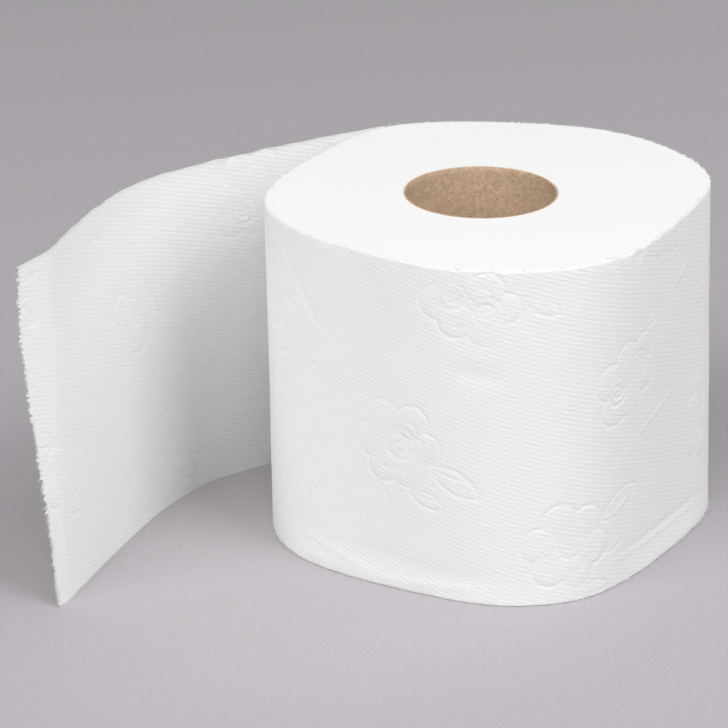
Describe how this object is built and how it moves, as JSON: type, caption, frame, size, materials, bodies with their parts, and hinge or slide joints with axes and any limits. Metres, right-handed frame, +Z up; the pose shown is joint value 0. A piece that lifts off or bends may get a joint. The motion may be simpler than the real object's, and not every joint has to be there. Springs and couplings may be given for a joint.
{
  "type": "toilet paper roll",
  "caption": "Roll of embossed toilet tissue wound on a cardboard core, standing on end with a loose end of torn sheet peeled away from it.",
  "frame": {"origin": "the core's axis at the level of the surface that the roll stands on", "axes": "+Z up the core's axis, -Y towards the viewer of the picture, +X to the right; the loose end lies on the -X side"},
  "size_m": [0.1849, 0.1201, 0.095],
  "materials": {
    "tissue": "matt creped two-ply tissue with a blind embossed flower pattern",
    "core_board": "matt unbleached spiral-wound core board"
  },
  "bodies": {
    "root": {"tissue": "tissue", "core": "core_board"}
  },
  "joints": []
}
